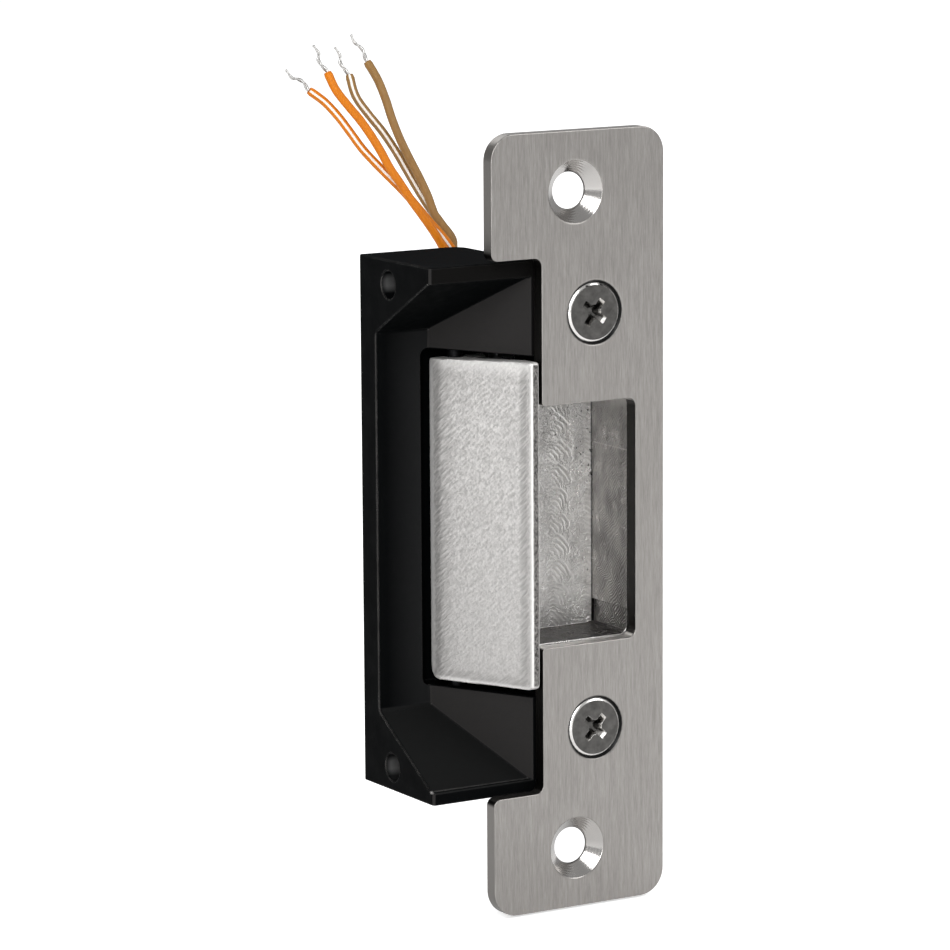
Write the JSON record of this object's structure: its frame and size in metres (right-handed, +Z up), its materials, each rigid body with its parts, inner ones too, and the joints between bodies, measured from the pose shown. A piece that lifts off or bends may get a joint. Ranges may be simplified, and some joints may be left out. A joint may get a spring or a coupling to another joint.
{
  "type": "electric door strike",
  "caption": "Electric door strike: brushed faceplate, black cast housing, swinging keeper over a milled latch pocket, solenoid lock inside, short bare-ended leads.",
  "frame": {"origin": "centre of the faceplate's front face, midway between its two frame screw holes", "axes": "+Z up along the faceplate, +Y back into the door frame, -X towards the side where the keeper opens"},
  "size_m": [0.0433, 0.0497, 0.1363],
  "materials": {
    "brushed_plate": "stainless, brushed lengthwise, satin",
    "screw_steel": "dull nickel plated",
    "black_casting": "black powder coat, satin",
    "milled_steel": "end milled, with overlapping arcs",
    "keeper_metal": "cast stainless, bead blasted, finely mottled",
    "spring_steel": "drawn, bright",
    "black_oxide": "black oxide",
    "zinc_plated": "zinc plated, satin",
    "nylon": "natural nylon",
    "copper_wire": "enamelled copper turns",
    "black_rubber": "matt black",
    "orange_insulation": "orange PVC, one lead with a white stripe",
    "brown_insulation": "brown PVC, one lead with a white stripe",
    "tinned_wire": "tinned copper strands"
  },
  "bodies": {
    "root": {"faceplate": "brushed_plate", "faceplate_screw_upper": "screw_steel", "faceplate_screw_lower": "screw_steel", "housing": "black_casting", "latch_pocket_block": "milled_steel", "pocket_block_screw_upper": "zinc_plated", "pocket_block_screw_lower": "zinc_plated", "keeper_pivot_pin": "black_oxide", "lever_pivot_pin": "black_oxide", "solenoid_frame": "zinc_plated", "solenoid_core": "zinc_plated", "coil_bobbin": "nylon", "coil_winding": "copper_wire", "back_cover": "zinc_plated", "cover_screw_1": "zinc_plated", "cover_screw_2": "zinc_plated", "cover_screw_3": "zinc_plated", "cover_screw_4": "zinc_plated", "lead_grommet": "black_rubber", "lead_orange": "orange_insulation", "lead_end_orange": "tinned_wire", "lead_orange_white": "orange_insulation", "lead_end_orange_white": "tinned_wire", "lead_brown": "brown_insulation", "lead_end_brown": "tinned_wire", "lead_brown_white": "brown_insulation", "lead_end_brown_white": "tinned_wire"},
    "keeper_body": {"keeper": "keeper_metal", "keeper_return_spring": "spring_steel"},
    "lever_body": {"locking_lever": "zinc_plated", "plunger_link_pin": "spring_steel"},
    "plunger_body": {"solenoid_plunger": "zinc_plated", "plunger_spring": "spring_steel"}
  },
  "joints": [
    {"name": "keeper_swing", "type": "hinge", "parent": "root", "child": "keeper_body", "pos_m": [-0.012, 0.0176, 0], "axis": [0, 0, -1], "range_deg": [0, 85], "stiffness_Nm_per_rad": 0.03, "springref_deg": -20.05, "deforming": ["keeper_return_spring"]},
    {"name": "lever_swing", "type": "hinge", "parent": "root", "child": "lever_body", "pos_m": [-0.0024, 0.0193, 0], "axis": [0, 0, 1], "range_deg": [0, 15.73]},
    {"name": "plunger_slide", "type": "slide", "parent": "root", "child": "plunger_body", "axis": [1, 0, 0], "range_m": [0, 0.00118], "deforming": ["plunger_spring"]}
  ],
  "couplings": [
    {"joint": "lever_swing", "follows": "keeper_swing", "ratio": 0.185},
    {"joint": "plunger_slide", "follows": "keeper_swing", "m_per_rad": 0.000794}
  ]
}
